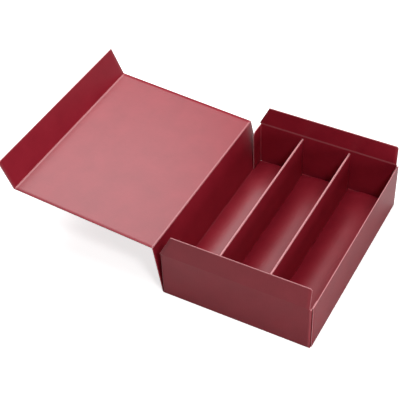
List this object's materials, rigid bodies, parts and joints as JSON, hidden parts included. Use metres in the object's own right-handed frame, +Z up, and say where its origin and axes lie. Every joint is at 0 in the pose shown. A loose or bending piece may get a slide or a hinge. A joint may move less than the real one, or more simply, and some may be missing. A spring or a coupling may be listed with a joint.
{
  "type": "bottle shipping carton",
  "caption": "Open burgundy gift and shipping carton of fine-flute board, with a hinged lid, end dust flaps and a folded divider insert for bottles lying side by side.",
  "frame": {"origin": "centre of the base's underside", "axes": "+X from the lid's hinge side to the closing side, +Y from the front end wall to the back end wall, +Z up"},
  "size_m": [0.5529, 0.3548, 0.157],
  "materials": {
    "carton_board": "smooth printed liner with a satin film, dyed through",
    "insert_board": "smooth printed liner with a satin film, dyed through"
  },
  "bodies": {
    "tray": {"folded_tray": "carton_board", "divider_insert": "insert_board"},
    "hinge_wall": {"hinge_wall": "carton_board"},
    "lid": {"lid": "carton_board"},
    "closing_flap": {"closing_flap": "carton_board"},
    "front_dust_flap": {"front_dust_flap": "carton_board"},
    "back_dust_flap": {"back_dust_flap": "carton_board"}
  },
  "joints": [
    {"name": "wall_hinge", "type": "hinge", "parent": "tray", "child": "hinge_wall", "pos_m": [-0.12825, 0, 0.00075], "axis": [0, 1, 0], "range_deg": [-1.22, 9.7]},
    {"name": "lid_hinge", "type": "hinge", "parent": "hinge_wall", "child": "lid", "pos_m": [-0.1433, 0, 0.08877], "axis": [0, 1, 0], "range_deg": [-20, 165.8]},
    {"name": "closing_flap_hinge", "type": "hinge", "parent": "lid", "child": "closing_flap", "pos_m": [-0.4011, 0, 0.10906], "axis": [0, 1, 0], "range_deg": [-60.6, 29.4]},
    {"name": "front_flap_hinge", "type": "hinge", "parent": "tray", "child": "front_dust_flap", "pos_m": [0, -0.17625, 0.08825], "axis": [-1, 0, 0], "range_deg": [-9.7, 80]},
    {"name": "back_flap_hinge", "type": "hinge", "parent": "tray", "child": "back_dust_flap", "pos_m": [0, 0.17625, 0.08825], "axis": [1, 0, 0], "range_deg": [-11.05, 91.2]}
  ],
  "couplings": [
    {"joint": "wall_hinge", "follows": "lid_hinge", "ratio": 0.0585},
    {"joint": "front_flap_hinge", "follows": "lid_hinge", "ratio": 0.4825},
    {"joint": "back_flap_hinge", "follows": "lid_hinge", "ratio": 0.55006}
  ]
}
